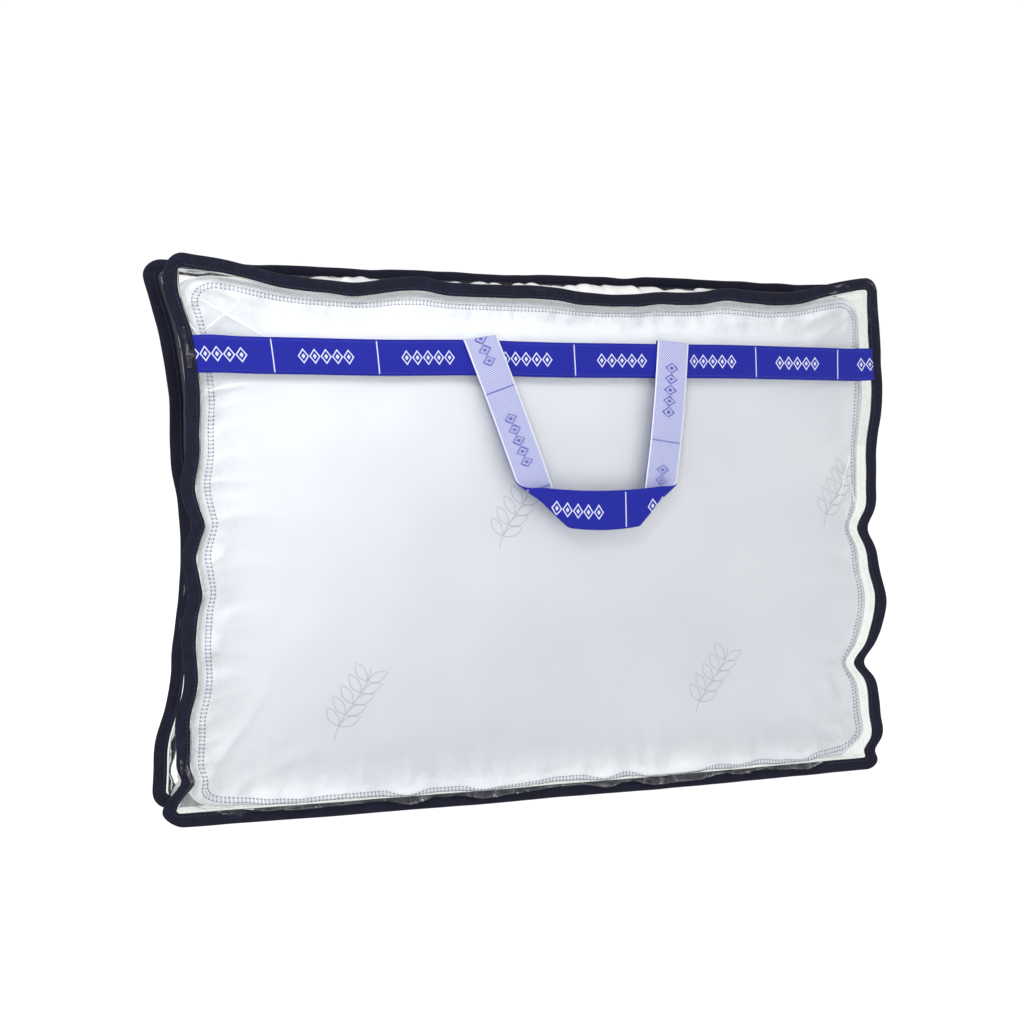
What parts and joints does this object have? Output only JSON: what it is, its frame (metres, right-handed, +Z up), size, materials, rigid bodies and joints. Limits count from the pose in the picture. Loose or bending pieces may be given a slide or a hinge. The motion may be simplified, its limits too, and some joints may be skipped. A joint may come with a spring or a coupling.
{
  "type": "bed pillow in a clear zipped carry bag",
  "caption": "White box-edged bed pillow with grey ladder hem-stitching, packed in a clear film carry bag with navy binding, a corner zip and a blue webbing carry handle.",
  "frame": {"origin": "on the floor at the centre of the packed pillow's footprint, standing on its long edge", "axes": "+Z up; +X along the width, to the right for someone facing the handle; the front panel with the webbing band and the handle faces -Y"},
  "size_m": [0.7092, 0.1314, 0.49],
  "materials": {
    "case_fabric": "white brushed microfibre with a faint sheen",
    "hem_stitch": "grey ladder hem-stitch tape",
    "fibre": "white hollow-fibre filling",
    "clear_film": "clear flexible film, glossy, softly creased",
    "binding_tape": "matt navy woven binding tape",
    "zip_tape": "matt navy knitted zip tape",
    "zip_coil": "navy nylon coil",
    "slider_metal": "navy enamelled zinc",
    "webbing": "royal-blue twill webbing with white woven marks, light on its reverse",
    "thread": "blue sewing thread"
  },
  "bodies": {
    "root": {"fibre_fill": "fibre", "pillow_front_cover": "case_fabric", "pillow_back_cover": "case_fabric", "pillow_gusset": "case_fabric", "pillow_front_hem_stitch": "hem_stitch", "pillow_back_hem_stitch": "hem_stitch", "bag_front_panel": "clear_film", "bag_back_panel": "clear_film", "bag_gusset": "clear_film", "zip_clear_strip": "clear_film", "front_binding": "binding_tape", "back_binding": "binding_tape", "zip_front_tape": "zip_tape", "zip_back_tape": "zip_tape", "zip_front_coil": "zip_coil", "zip_back_coil": "zip_coil", "zip_end_tab_left": "binding_tape", "zip_end_tab_right": "binding_tape", "webbing_band": "webbing", "handle_tail_left": "webbing", "handle_tail_right": "webbing", "band_stitch_upper": "thread", "band_stitch_lower": "thread", "handle_stitch_left": "thread", "handle_stitch_right": "thread"},
    "carry_handle": {"handle_loop": "webbing"},
    "slider": {"zip_slider": "slider_metal"},
    "pull_tab": {"zip_pull_tab": "slider_metal"}
  },
  "joints": [
    {"name": "handle_swing", "type": "hinge", "parent": "root", "child": "carry_handle", "pos_m": [0.017, -0.05876, 0.42], "axis": [-1, 0, 0], "range_deg": [0, 170]},
    {"name": "zip_slide", "type": "slide", "parent": "root", "child": "slider", "axis": [-1, 0, 0], "range_m": [0, 0.61]},
    {"name": "pull_tab_swing", "type": "hinge", "parent": "slider", "child": "pull_tab", "pos_m": [0.296, 0.023, 0.4814], "axis": [0, -1, 0], "range_deg": [0, 165]}
  ]
}
